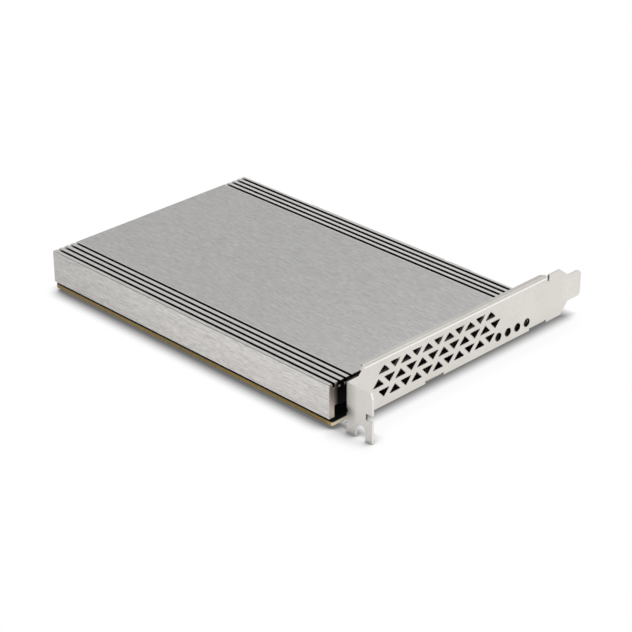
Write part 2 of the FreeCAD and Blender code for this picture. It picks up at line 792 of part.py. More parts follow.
for number, centre in enumerate(bay_centres, 1):
    tag = str(number)
    save("module_socket_" + tag, make_socket(centre))
    save("socket_contacts_" + tag, make_socket_contacts(centre))
    save("module_post_" + tag, make_post(centre))
    save("module_screw_" + tag, make_post_screw(centre))
    save("thermal_pad_" + tag, make_pad(centre))
    save("inductor_" + tag, make_inductor(inductor_spot[0], centre + inductor_spot[1]))
    save("converter_" + tag, make_flat_pack(converter_spot[0], centre + converter_spot[1],
                                            converter_size, converter_height))

save("lamp_block", make_lamp_block())
for number, centre in enumerate(lamp_centres, 1):
    save("lamp_" + str(number), make_lamp(centre))

for number, can_x in enumerate(cans_x, 1):
    base, can = make_can(can_x, strip_middle)
    save("bulk_capacitor_base_" + str(number), base)
    save("bulk_capacitor_can_" + str(number), can)

save("clock_buffer", make_flat_pack(clock_x, strip_middle, clock_size, converter_height))
save("setup_memory", make_memory(memory_x, strip_middle))
save("input_fuse", centred_block(fuse_x, strip_middle, component_face, fuse_size))
save("polymer_capacitors", bay_parts(polymer_size, (polymer_spot,), component_face)
     + bay_parts(polymer_turned, (polymer_turned_spot,), component_face))
save("ceramic_capacitors", bay_parts(chip_small, chip_spots, component_face))
under_row = [(socket_x_back + underside_setback, (i - (underside_chips - 1) / 2) * underside_pitch)
             for i in range(underside_chips)]
save("underside_capacitors", bay_parts(chip_turned, under_row, -chip_turned[2]))
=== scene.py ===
import math

import bpy
from mathutils import Matrix, Vector


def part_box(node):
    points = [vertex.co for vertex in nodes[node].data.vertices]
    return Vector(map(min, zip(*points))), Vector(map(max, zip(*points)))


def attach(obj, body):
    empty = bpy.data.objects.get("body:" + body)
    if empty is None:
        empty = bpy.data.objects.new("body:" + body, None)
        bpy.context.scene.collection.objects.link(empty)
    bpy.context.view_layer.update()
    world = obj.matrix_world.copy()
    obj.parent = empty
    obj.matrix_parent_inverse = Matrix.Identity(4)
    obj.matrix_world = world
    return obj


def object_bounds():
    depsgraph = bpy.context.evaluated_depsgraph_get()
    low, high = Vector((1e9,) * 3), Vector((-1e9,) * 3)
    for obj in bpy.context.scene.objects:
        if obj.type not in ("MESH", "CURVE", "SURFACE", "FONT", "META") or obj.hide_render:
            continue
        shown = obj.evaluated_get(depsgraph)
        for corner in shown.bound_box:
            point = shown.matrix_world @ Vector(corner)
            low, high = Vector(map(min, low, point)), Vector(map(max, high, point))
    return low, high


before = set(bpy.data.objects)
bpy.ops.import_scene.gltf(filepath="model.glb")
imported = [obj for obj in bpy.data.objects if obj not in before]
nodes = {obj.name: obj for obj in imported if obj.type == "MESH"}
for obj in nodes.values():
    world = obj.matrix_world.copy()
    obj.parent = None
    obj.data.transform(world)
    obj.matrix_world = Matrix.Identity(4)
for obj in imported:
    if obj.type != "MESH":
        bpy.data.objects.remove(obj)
cad_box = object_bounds()
MM = 0.001
GROOVE_FIRST = 2.05 * MM        # plate side to the middle of its first groove
GROOVE_PITCH = 2.69 * MM
GROOVED_BAND = 11.3 * MM        # width of the band of grooves and ribs along each side

# ---------------------------------------------------------------- places read from the frame
board_low, board_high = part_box("circuit_board")
plate_low, plate_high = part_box("heat_sink")
floor_z = cad_box[0][2]
TOP = plate_high[2]
FACE = board_high[2]            # component side of the board
UNDER = board_low[2]            # solder side of the board
BAYS = ("1", "2", "3", "4")
LARGE_CAPACITORS = ("bulk_capacitor_base_1", "bulk_capacitor_base_2")
LARGE_CANS = ("bulk_capacitor_can_1", "bulk_capacitor_can_2")


def middle_of(box):
    low, high = box
    return [(low[i] + high[i]) / 2 for i in range(3)]


def middle(name):
    return middle_of(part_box(name))


bay_y = [middle("thermal_pad_" + bay)[1] for bay in BAYS]
post_x = middle("module_post_1")[0]
socket_low, socket_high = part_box("module_socket_1")
# spare holes for the posts of shorter modules, counted back from the longest one's post
LONGEST, SHORTER = 110.0, (60.0, 80.0)
spare_post_x = [post_x + (LONGEST - length) * MM for length in SHORTER]


def islands(name):
    """Boxes of the separate solids in a CAD node, as (low, high), in order along X."""
    mesh = nodes[name].data
    owner = {}
    keys = [tuple(round(c * 1e6) for c in v.co) for v in mesh.vertices]
    for key in keys:
        owner[key] = key

    def root(key):
        while owner[key] != key:
            owner[key] = owner[owner[key]]
            key = owner[key]
        return key

    for edge in mesh.edges:
        a, b = root(keys[edge.vertices[0]]), root(keys[edge.vertices[1]])
        if a != b:
            owner[a] = b
    groups = {}
    for key in owner:
        groups.setdefault(root(key), []).append(key)
    found = []
    for group in groups.values():
        low = [min(p[i] for p in group) * 1e-6 for i in range(3)]
        high = [max(p[i] for p in group) * 1e-6 for i in range(3)]
        found.append((low, high))
    return sorted(found)


# ---------------------------------------------------------------- node helpers
class Shader:
    """A principled material with small helpers for its nodes."""

    def __init__(self, name, metallic=0.0, roughness=0.5, ior=1.5, anisotropic=0.0):
        self.material = bpy.data.materials.new(name)
        self.material.use_nodes = True
        tree = self.material.node_tree
        self.nodes = tree.nodes
        self.links = tree.links
        self.bsdf = self.nodes["Principled BSDF"]
        self.set("Metallic", metallic)
        self.set("Roughness", roughness)
        self.set("IOR", ior)
        self.set("Anisotropic", anisotropic)

    def set(self, socket, value):
        self.bsdf.inputs[socket].default_value = value

    def link(self, source, socket):
        self.links.new(source, self.bsdf.inputs[socket])

    def place(self, scale=(1, 1, 1)):
        """Position on the object, stretched by scale."""
        coordinate = self.nodes.new("ShaderNodeTexCoord")
        mapping = self.nodes.new("ShaderNodeMapping")
        mapping.inputs["Scale"].default_value = scale
        self.links.new(coordinate.outputs["Object"], mapping.inputs["Vector"])
        return mapping.outputs["Vector"]

    def axis(self, name):
        split = self.nodes.new("ShaderNodeSeparateXYZ")
        self.links.new(self.place(), split.inputs[0])
        return split.outputs[name]

    def absolute(self, value):
        return self.math("ABSOLUTE", value)

    def most(self, *values):
        total = values[0]
        for value in values[1:]:
            total = self.math("MAXIMUM", total, value)
        return total

    def normal(self, name):
        geometry = self.nodes.new("ShaderNodeNewGeometry")
        split = self.nodes.new("ShaderNodeSeparateXYZ")
        self.links.new(geometry.outputs["True Normal"], split.inputs[0])
        return split.outputs[name]

    def noise(self, scale, vector, detail, rough):
        node = self.nodes.new("ShaderNodeTexNoise")
        node.inputs["Scale"].default_value = scale
        node.inputs["Detail"].default_value = detail
        node.inputs["Roughness"].default_value = rough
        self.links.new(vector or self.place(), node.inputs["Vector"])
        return node.outputs["Fac"]

    def math(self, kind, a, b=0.0):
        node = self.nodes.new("ShaderNodeMath")
        node.operation = kind
        for i, value in enumerate((a, b)):
            if isinstance(value, (int, float)):
                node.inputs[i].default_value = value
            else:
                self.links.new(value, node.inputs[i])
        return node.outputs[0]

    def spread(self, value, low, high, to_low=0.0, to_high=1.0, kind="LINEAR"):
        """value from low..high to to_low..to_high, held at both ends."""
        node = self.nodes.new("ShaderNodeMapRange")
        node.interpolation_type = kind
        node.inputs["From Min"].default_value = low
        node.inputs["From Max"].default_value = high
        node.inputs["To Min"].default_value = to_low
        node.inputs["To Max"].default_value = to_high
        self.links.new(value, node.inputs["Value"])
        return node.outputs["Result"]

    def between(self, value, low, high, soft):
        """1 where value lies between low and high, 0 outside."""
        rise = self.spread(value, low, low + soft)
        fall = self.spread(value, high - soft, high, 1.0, 0.0)
        return self.math("MULTIPLY", rise, fall)

    def all_of(self, *values):
        total = values[0]
        for value in values[1:]:
            total = self.math("MULTIPLY", total, value)
        return total

    def mix(self, factor, a, b):
        """Colour a where factor is 0 and b where it is 1."""
        node = self.nodes.new("ShaderNodeMix")
        node.data_type = "RGBA"
        self.links.new(factor, node.inputs["Factor"])
        for socket, value in (("A", a), ("B", b)):
            target = [s for s in node.inputs if s.name == socket and s.type == "RGBA"][0]
            if isinstance(value, tuple):
                target.default_value = (*value, 1.0)
            else:
                self.links.new(value, target)
        return [s for s in node.outputs if s.type == "RGBA"][0]

    def near_edge(self, radius):
        """1 within radius of a sharp edge, 0 elsewhere."""
        bevel = self.nodes.new("ShaderNodeBevel")
        bevel.samples = 6
        bevel.inputs["Radius"].default_value = radius
        geometry = self.nodes.new("ShaderNodeNewGeometry")
        turn = self.nodes.new("ShaderNodeVectorMath")
        turn.operation = "DOT_PRODUCT"
        self.links.new(bevel.outputs[0], turn.inputs[0])
        self.links.new(geometry.outputs["True Normal"], turn.inputs[1])
        return self.spread(turn.outputs["Value"], 0.90, 0.985, 1.0, 0.0)

    def bump(self, height, strength, distance):
        node = self.nodes.new("ShaderNodeBump")
        node.inputs["Strength"].default_value = strength
        node.inputs["Distance"].default_value = distance
        self.links.new(height, node.inputs["Height"])
        return node.outputs["Normal"]


def dress(material, *names):
    """The material goes on these CAD nodes' own slots."""
    for name in names:
        for slot in nodes[name].material_slots:
            slot.material = material


# ---------------------------------------------------------------- materials
def brushed_aluminium():
    """Brushed along X on top and sides, with painted light and shade: the grooves, the cavity and the lower
    edge are painted dark, and the grooved bands and groove ends painted bright.
    """
    s = Shader("brushed_aluminium", metallic=1.0, roughness=0.42, anisotropic=0.5)
    tangent = s.nodes.new("ShaderNodeTangent")
    tangent.direction_type = "RADIAL"
    tangent.axis = "X"
    s.links.new(tangent.outputs[0], s.bsdf.inputs["Tangent"])
    long_lines = s.noise(1.0, s.place((150, 2500, 2500)), 3.0, 0.65)
    short_lines = s.noise(1.0, s.place((420, 3600, 3600)), 2.0, 0.5)
    cloud = s.noise(14.0, None, 2.0, 0.5)
    tone = s.math("ADD", s.math("MULTIPLY", long_lines, 0.5), s.math("MULTIPLY", short_lines, 0.5))
    lines = s.spread(tone, 0.3, 0.7)
    flat = s.spread(s.absolute(s.normal("Z")), 0.5, 0.8)
    ends = s.spread(s.absolute(s.normal("X")), 0.5, 0.8)
    x, y, z = s.axis("X"), s.axis("Y"), s.axis("Z")
    # painted light: the sides and the top are painted lighter toward the near end of the plate
    side_far = s.mix(lines, (0.290, 0.281, 0.271), (0.565, 0.550, 0.530))
    side_near = s.mix(lines, (0.345, 0.333, 0.322), (0.645, 0.626, 0.605))
    along = s.spread(x, plate_low[0], plate_high[0])
    side_tone = s.mix(along, side_far, side_near)
    top_far = s.mix(lines, (0.350, 0.346, 0.337), (0.645, 0.638, 0.623))
    top_near = s.mix(lines, (0.390, 0.385, 0.376), (0.700, 0.692, 0.677))
    top_tone = s.mix(s.math("POWER", along, 3.0), top_far, top_near)
    # the near end faces: their warm beige is the sawn metal's own, their lightness is painted light
    sawn_and_lit = s.mix(lines, (0.800, 0.700, 0.620), (0.970, 0.860, 0.770))
    near_end = s.all_of(ends, s.spread(x, -20 * MM, -18 * MM))
    bare = s.mix(near_end, s.mix(flat, side_tone, top_tone), sawn_and_lit)
    # painted shade: only the top and the outer faces keep the metal's tone; the grooves, the cavity and the
    # end face behind the bracket are painted dark, fading out toward the far end and on the end face next to
    # each side wall
    depth = s.math("SUBTRACT", TOP, z)
    from_side = s.math("MINIMUM", s.math("SUBTRACT", y, plate_low[1]), s.math("SUBTRACT", plate_high[1], y))
    inside = s.all_of(s.spread(from_side, 0.10 * MM, 0.25 * MM), s.spread(depth, 0.04 * MM, 0.14 * MM))
    far_end = s.spread(s.math("SUBTRACT", x, plate_low[0]), 0.2 * MM, 2.5 * MM)
    from_near_end = s.math("SUBTRACT", plate_high[0], x)
    near_rim = s.most(s.spread(from_near_end, 0.05 * MM, 0.2 * MM), s.spread(from_side, 2.0 * MM, 4.0 * MM))
    groove = s.all_of(inside, far_end, near_rim)
    # painted highlight: a bright glint is painted where each groove breaks out at the near end
    from_groove = s.math("PINGPONG", s.math("SUBTRACT", from_side, GROOVE_FIRST), GROOVE_PITCH / 2)
    far_side = s.spread(y, 40 * MM, 41 * MM)
    groove_end_glint = s.all_of(s.spread(from_near_end, 0.35 * MM, 0.5 * MM, 1.0, 0.0),
                    s.between(depth, 1.45 * MM, 2.35 * MM, 0.1 * MM),
                    s.spread(from_groove, 0.45 * MM, 0.6 * MM, 1.0, 0.0),
                    s.between(from_side, 1.2 * MM, GROOVED_BAND + 0.1 * MM, 0.2 * MM),
                    s.math("SUBTRACT", 1.0, far_side))
    # the shadow line along the lower edge of the side walls
    lower_edge = s.spread(s.math("SUBTRACT", z, plate_low[2]), 0.36 * MM, 0.54 * MM, 1.0, 0.0)
    # painted highlight: the narrow ribs between the grooves are painted lighter than the top, most of all on
    # the far side
    rib = s.all_of(s.spread(from_side, GROOVED_BAND - 0.3 * MM, GROOVED_BAND + 0.1 * MM, 1.0, 0.0),
                   s.spread(depth, 0.05 * MM, 0.15 * MM, 1.0, 0.0))
    near_rib = s.mix(lines, (0.480, 0.472, 0.461), (0.760, 0.748, 0.730))
    far_rib = s.mix(lines, (0.570, 0.560, 0.547), (0.825, 0.812, 0.793))
    ribs = s.mix(far_side, near_rib, far_rib)
    # painted shade: a thin dark line is painted along both edges of a groove, wider on the far side
    half_width = s.spread(far_side, 0.0, 1.0, 0.55 * MM, 0.66 * MM)
    past_line = s.math("SUBTRACT", from_groove, half_width)
    groove_edge_shade = s.all_of(s.spread(past_line, 0.0, 0.10 * MM, 1.0, 0.0), flat,
                     s.between(from_side, 1.1 * MM, GROOVED_BAND, 0.1 * MM), far_end, near_rim)
    painted_shade = s.most(groove, lower_edge, groove_edge_shade)
    metal_and_painted_shade = s.mix(painted_shade, s.mix(rib, bare, ribs), (0.014, 0.012, 0.012))
    s.link(s.mix(groove_end_glint, metal_and_painted_shade, (0.93, 0.91, 0.88)), "Base Color")
    s.link(s.math("ADD", s.spread(tone, 0.3, 0.7, 0.36, 0.48), s.math("MULTIPLY", cloud, 0.06)), "Roughness")
    s.link(s.bump(tone, 0.30, 0.00004), "Normal")
    return s.material


def nickel_sheet():
    """Satin nickel on folded steel, with painted light and shade; the cut walls of the punched holes are
    painted dark.
    """
    s = Shader("nickel_sheet", metallic=1.0, roughness=0.34)
    grain = s.noise(1.0, s.place((900, 300, 900)), 4.0, 0.6)
    cloud = s.noise(55.0, None, 3.0, 0.6)
    x, y, z = s.axis("X"), s.axis("Y"), s.axis("Z")
    # painted light: the face of the bracket and its cut walls are painted lighter than the front of the screw
    # tab and the flange, lit and shaded copies of one nickel
    lit_face_tone = s.mix(s.spread(cloud, 0.3, 0.7), (0.725, 0.690, 0.650), (0.805, 0.772, 0.730))
    shaded_fold_tone = s.mix(s.spread(cloud, 0.3, 0.7), (0.580, 0.560, 0.530), (0.670, 0.650, 0.618))
    on_face = s.all_of(s.spread(x, -7.3 * MM, -7.2 * MM), s.spread(s.normal("Y"), -0.9, -0.8))
    sheet_tone = s.mix(s.most(s.spread(s.absolute(s.normal("X")), 0.3, 0.9), on_face), shaded_fold_tone, lit_face_tone)
    # painted highlight: the cut walls of the screw tab are painted pale
    tab_edge_highlight = s.all_of(s.spread(x, -5.4 * MM, -5.2 * MM),
                        s.spread(s.absolute(s.normal("Y")), 0.3, 0.5, 1.0, 0.0))
    # painted shade: the screw tab is painted darker toward the gap behind it, most of all where it passes the
    # board
    on_tab = s.spread(s.normal("Y"), -0.9, -0.7, 1.0, 0.0)
    tab_side = s.all_of(s.spread(x, -6.8 * MM, -1.5 * MM, 0.50, 0.0), s.spread(z, 0.5 * MM, 3.0 * MM))
    near_board = s.all_of(s.between(z, 1.2 * MM, 9.5 * MM, 3.4 * MM),
                          s.spread(x, -6.4 * MM, -1.6 * MM, 0.97, 0.0))
    tab_shade = s.all_of(s.most(tab_side, near_board), on_tab)
    # painted highlight: the fold above the face is painted bright along its whole length
    fold_highlight = s.all_of(s.between(s.normal("Z"), 0.12, 0.62, 0.06), s.spread(s.normal("X"), 0.6, 0.7))
    sheet_tone = s.mix(tab_shade, sheet_tone, (0.020, 0.018, 0.017))
    mottle = s.spread(s.noise(1400.0, None, 2.0, 0.6), 0.35, 0.65)
    sheet_tone = s.mix(s.math("MULTIPLY", mottle, 0.13), sheet_tone, (0.45, 0.42, 0.38))
    plated_tone = s.mix(fold_highlight, s.mix(tab_edge_highlight, sheet_tone, (0.82, 0.80, 0.77)), (0.97, 0.955, 0.93))
    # painted shade: the cut walls inside the field of vents are painted dark, a little less where they face
    # the light
    cut = s.spread(s.absolute(s.normal("X")), 0.3, 0.5, 1.0, 0.0)
    field = s.all_of(s.between(y, 8.0 * MM, 93.5 * MM, 0.2 * MM), s.between(z, 1.0 * MM, 14.6 * MM, 0.2 * MM),
                     s.spread(x, -7.3 * MM, -7.2 * MM))
    lit = s.all_of(s.between(s.normal("Z"), 0.3, 0.95, 0.1), s.spread(z, 10.5 * MM, 10.8 * MM),
                   s.spread(s.normal("Y"), -0.4, -0.2, 1.0, 0.0))
    shade = s.math("SUBTRACT", 1.0, s.math("MULTIPLY", lit, 0.07))
    # the step above the screw tab and the bottom of the tab's fork are painted dark as shade too
    step = s.all_of(cut, s.spread(y, 7.5 * MM, 7.7 * MM, 1.0, 0.0),
                    s.between(z, 15.0 * MM, 17.2 * MM, 0.3 * MM),
                    s.spread(x, -6.25 * MM, -6.2 * MM, 1.0, 0.0),
                    s.spread(s.normal("Y"), 0.2, 0.4, 1.0, 0.0))
    notch = s.all_of(s.spread(s.normal("X"), 0.5, 0.7), s.between(x, 1.2 * MM, 3.6 * MM, 0.2 * MM),
                     s.between(z, 4.4 * MM, 8.3 * MM, 0.2 * MM))
    # painted shade: a thin dark edge is painted round every vent
    painted_rim_shade = s.all_of(s.near_edge(0.62 * MM), field, s.spread(s.normal("X"), 0.8, 0.9))
    dark = s.most(s.all_of(cut, field, shade), painted_rim_shade, step, s.math("MULTIPLY", notch, 0.85))
    s.link(s.mix(dark, plated_tone, (0.012, 0.011, 0.011)), "Base Color")
    s.link(s.math("ADD", s.spread(grain, 0.3, 0.7, 0.29, 0.38), s.math("MULTIPLY", cloud, 0.08)), "Roughness")
    s.link(s.bump(grain, 0.15, 0.00003), "Normal")
    return s.material


def laminate():
    """Black solder mask on both faces and bare amber glass-epoxy at the cut edges."""
    s = Shader("laminate", roughness=0.32)
    flat = s.spread(s.absolute(s.normal("Z")), 0.55, 0.7)
    z = s.axis("Z")
    layers = s.noise(1.0, s.place((30, 30, 4200)), 2.0, 0.6)
    speckle = s.noise(900.0, None, 2.0, 0.6)
    fibre = s.math("ADD", s.math("MULTIPLY", layers, 0.7), s.math("MULTIPLY", speckle, 0.3))
    # painted light: the cut edge is painted a little lighter toward the bracket end
    amber_far = s.mix(s.spread(fibre, 0.35, 0.65), (0.130, 0.080, 0.010), (0.245, 0.164, 0.032))
    amber_near = s.mix(s.spread(fibre, 0.35, 0.65), (0.148, 0.090, 0.010), (0.270, 0.178, 0.032))
    amber = s.mix(s.spread(s.axis("X"), board_low[0], board_high[0]), amber_far, amber_near)
    # painted highlight: the cut edge is painted paler over its last few millimetres before the bracket
    corner = s.spread(s.axis("X"), board_high[0] - 3.1 * MM, board_high[0] - 0.7 * MM)
    amber = s.mix(corner, amber, (0.40, 0.26, 0.065))
    # painted light: the edge faces that look along X are painted a pale cream, lighter than the amber sides
    cream = s.mix(s.spread(fibre, 0.35, 0.65), (0.90, 0.78, 0.56), (1.0, 0.93, 0.76))
    edge = s.mix(s.spread(s.normal("X"), 0.3, 0.8), amber, cream)
    # painted shade: a dark band is painted along the top of the cut edge under the plate; a thin dark line
    # also runs along its foot; both take the colour of the mask
    painted_rim_shade = s.most(s.spread(z, FACE - 0.34 * MM, FACE - 0.14 * MM),
                 s.spread(z, UNDER + 0.06 * MM, UNDER + 0.12 * MM, 1.0, 0.0))
    weave = s.noise(1.0, s.place((1500, 1500, 1)), 2.0, 0.5)
    mask = s.mix(s.spread(weave, 0.3, 0.7), (0.010, 0.0105, 0.012), (0.016, 0.017, 0.019))
    s.link(s.mix(s.most(flat, painted_rim_shade), edge, mask), "Base Color")
    s.link(s.spread(flat, 0.0, 1.0, 0.62, 0.30), "Roughness")
    s.link(s.bump(weave, 0.10, 0.00003), "Normal")
    return s.material


def plated(name, low, high, roughness):
    s = Shader(name, metallic=1.0, roughness=roughness)
    cloud = s.noise(700.0, None, 3.0, 0.6)
    s.link(s.mix(s.spread(cloud, 0.3, 0.7), low, high), "Base Color")
    s.link(s.spread(cloud, 0.3, 0.7, roughness - 0.05, roughness + 0.07), "Roughness")
    s.link(s.bump(cloud, 0.08, 0.00003), "Normal")
    return s.material


def moulded(name, low, high, roughness, grain=2600.0, strength=0.25):
    s = Shader(name, roughness=roughness)
    fine = s.noise(grain, None, 2.0, 0.6)
    cloud = s.noise(120.0, None, 2.0, 0.5)
    s.link(s.mix(s.spread(cloud, 0.3, 0.7), low, high), "Base Color")
    s.link(s.spread(fine, 0.3, 0.7, roughness - 0.06, roughness + 0.08), "Roughness")
    s.link(s.bump(fine, strength, 0.00004), "Normal")
    return s.material


def clear_lens():
    s = Shader("clear_lens", roughness=0.12, ior=1.52)
    cloud = s.noise(400.0, None, 2.0, 0.5)
    s.set("Transmission Weight", 0.2)
    s.link(s.mix(s.spread(cloud, 0.3, 0.7), (0.72, 0.76, 0.72), (0.84, 0.87, 0.83)), "Base Color")
    return s.material


aluminium = brushed_aluminium()
nickel = nickel_sheet()
board_material = laminate()
gold = plated("hard_gold", (0.86, 0.60, 0.25), (0.95, 0.70, 0.34), 0.26)
screw_metal = plated("screw_nickel", (0.52, 0.51, 0.49), (0.64, 0.63, 0.61), 0.30)
post_metal = plated("post_nickel", (0.60, 0.58, 0.54), (0.70, 0.68, 0.64), 0.28)
tin = plated("tin", (0.62, 0.62, 0.62), (0.76, 0.76, 0.76), 0.35)
solder = plated("solder", (0.55, 0.55, 0.56), (0.70, 0.70, 0.71), 0.24)
black_plastic = moulded("black_nylon", (0.014, 0.014, 0.015), (0.022, 0.022, 0.023), 0.48)
epoxy = moulded("chip_epoxy", (0.020, 0.020, 0.022), (0.030, 0.030, 0.032), 0.62, 3400.0, 0.35)
iron_powder = moulded("iron_powder", (0.060, 0.060, 0.063), (0.090, 0.090, 0.093), 0.60, 2200.0, 0.5)
silicone = moulded("silicone_pad", (0.18, 0.25, 0.31), (0.23, 0.30, 0.36), 0.75, 1800.0, 0.3)
can_metal = plated("can_aluminium", (0.66, 0.66, 0.67), (0.76, 0.76, 0.77), 0.30)
polymer_case = moulded("polymer_case", (0.030, 0.028, 0.026), (0.045, 0.042, 0.038), 0.5, 3000.0, 0.3)
ceramic_case = moulded("ceramic_case", (0.28, 0.20, 0.13), (0.38, 0.28, 0.19), 0.5, 3200.0, 0.3)
fuse_case = moulded("fuse_case", (0.60, 0.59, 0.54), (0.70, 0.69, 0.64), 0.4, 3000.0, 0.2)
masked_copper = moulded("masked_copper", (0.040, 0.041, 0.045), (0.056, 0.057, 0.062), 0.30, 1500.0, 0.1)
white_print = moulded("white_print", (0.62, 0.62, 0.60), (0.72, 0.72, 0.70), 0.55, 2600.0, 0.2)
dark_mark = moulded("dark_mark", (0.020, 0.020, 0.022), (0.032, 0.032, 0.034), 0.5)
lens = clear_lens()

dress(aluminium, "heat_sink")
dress(nickel, "bracket")
dress(board_material, "circuit_board")
dress(gold, "slot_contacts_component_side", "slot_contacts_solder_side")
dress(screw_metal, "bracket_screws", "heat_sink_screws")
dress(black_plastic, "lamp_block", *LARGE_CAPACITORS)
dress(can_metal, *LARGE_CANS)
dress(epoxy, "clock_buffer", "setup_memory")
dress(polymer_case, "polymer_capacitors")
dress(ceramic_case, "ceramic_capacitors", "underside_capacitors")
dress(fuse_case, "input_fuse")
for bay in BAYS:
    dress(black_plastic, "module_socket_" + bay)
    dress(gold, "socket_contacts_" + bay)
    dress(post_metal, "module_post_" + bay)
    dress(screw_metal, "module_screw_" + bay)
    dress(silicone, "thermal_pad_" + bay)
    dress(iron_powder, "inductor_" + bay)
    dress(epoxy, "converter_" + bay)
    dress(lens, "lamp_" + bay)


# ---------------------------------------------------------------- small solid shapes
class Solids:
    """Small closed shapes gathered into one piece."""

    def __init__(self):
        self.points = []
        self.faces = []

    def loops(self, rows):
        """A closed shell through rows of points, with a face over the first and the last row."""
        start = len(self.points)
        count = len(rows[0])
        for row in rows:
            self.points += row
        for k in range(len(rows) - 1):
            a, b = start + k * count, start + (k + 1) * count
            self.faces += [(a + i, a + (i + 1) % count, b + (i + 1) % count, b + i) for i in range(count)]
        last = start + (len(rows) - 1) * count
        self.faces.append(tuple(start + i for i in reversed(range(count))))
        self.faces.append(tuple(last + i for i in range(count)))

    def block(self, low, high):
        (x0, y0, z0), (x1, y1, z1) = low, high
        rows = [[(x0, y0, z), (x1, y0, z), (x1, y1, z), (x0, y1, z)] for z in (z0, z1)]
        self.loops(rows)

    def disc(self, x, y, z0, z1, radius, top_radius=None):
        turns = [2 * math.pi * i / 20 for i in range(20)]
        rows = []
        for r, z in ((radius, z0), (top_radius or radius, z1)):
            rows.append([(x + r * math.cos(a), y + r * math.sin(a), z) for a in turns])
        if z1 < z0:
            rows = [row[::-1] for row in rows]
        self.loops(rows)

    def ring(self, x, y, inner, outer, z0, z1, count=20):
        start = len(self.points)
        turns = [2 * math.pi * i / count for i in range(count)]
        for r, z in ((outer, z0), (outer, z1), (inner, z1), (inner, z0)):
            self.points += [(x + r * math.cos(a), y + r * math.sin(a), z) for a in turns]
        for k in range(4):
            a, b = start + k * count, start + (k + 1) % 4 * count
            self.faces += [(a + i, a + (i + 1) % count, b + (i + 1) % count, b + i) for i in range(count)]

    def via(self, x, y, layer, inner=0.15 * MM, outer=0.36 * MM):
        self.ring(x, y, inner, outer, *layer, count=12)

    def track(self, route, width, z0, z1):
        """A flat strip of one width along a route of (x, y) points."""
        steps = [Vector(b) - Vector(a) for a, b in zip(route, route[1:])]
        steps = [step.normalized() for step in steps]
        rows = []
        for i, (x, y) in enumerate(route):
            before, after = steps[max(i - 1, 0)], steps[min(i, len(steps) - 1)]
            along = (before + after).normalized()
            reach = width / 2 / max(along.dot(after), 0.3)
            sx, sy = along.y * reach, -along.x * reach
            rows.append([(x + sx, y + sy, z0), (x - sx, y - sy, z0),
                         (x - sx, y - sy, z1), (x + sx, y + sy, z1)])
        self.loops(rows)

    def piece(self, name, material):
        mesh = bpy.data.meshes.new(name)
        mesh.from_pydata(self.points, [], self.faces)
        mesh.materials.append(material)
        mesh.update()
        made = bpy.data.objects.new(name, mesh)
        bpy.context.collection.objects.link(made)
        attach(made, "root")


SUNK = 0.01 * MM                # every printed or plated layer starts this far inside the board
COPPER = 0.030 * MM
INK = 0.038 * MM
LINE = 0.24 * MM                # width of one trace of a pair
PAIR = 0.27 * MM                # middle of a pair to the middle of each trace
LAP = 0.05 * MM                 # a trace starts this far under its contact
SUPPLY_CONTACTS = 11            # the short segment of the slot edge, beside the bracket
under = (UNDER - COPPER, UNDER + SUNK)
over = (FACE - SUNK, FACE + COPPER)
under_ink = (UNDER - INK, UNDER + SUNK)
over_ink = (FACE - SUNK, FACE + INK)


# ---------------------------------------------------------------- traces and vias
def contact_places(name):
    """X of each slot contact, counted from the bracket, and the Y where the contacts end."""
    contacts = islands(name)
    xs = sorted(((low[0] + high[0]) / 2 for low, high in contacts), reverse=True)
    return xs, min(low[1] for low, high in contacts)


def supply_copper(lines, xs, root_y, layer):
    """The supply contacts beside the bracket join in one wide strip."""
    supply = xs[:SUPPLY_CONTACTS]
    for x in supply:
        lines.track([(x, root_y + LAP), (x, root_y - 1.6 * MM)], 0.45 * MM, *layer)
    y = root_y - 1.5 * MM
    lines.track([(supply[0] + 0.3 * MM, y), (supply[-1] - 0.3 * MM, y)], 1.4 * MM, *layer)


def ground_contact(lines, vias, x, root_y, layer):
    lines.track([(x, root_y + LAP), (x, root_y - 0.9 * MM)], 0.4 * MM, *layer)
    vias.via(x, root_y - 1.2 * MM, layer)


def bends(x, y, rise, turns):
    """Points of the small waves that even out the length of a trace."""
    slope, step = 0.3 * MM, 1.0 * MM
    points = []
    for _ in range(turns):
        points += [(x, y), (x + slope, y + rise), (x + slope + step, y + rise), (x + 2 * slope + step, y)]
        x += 2 * slope + 2 * step
    return points


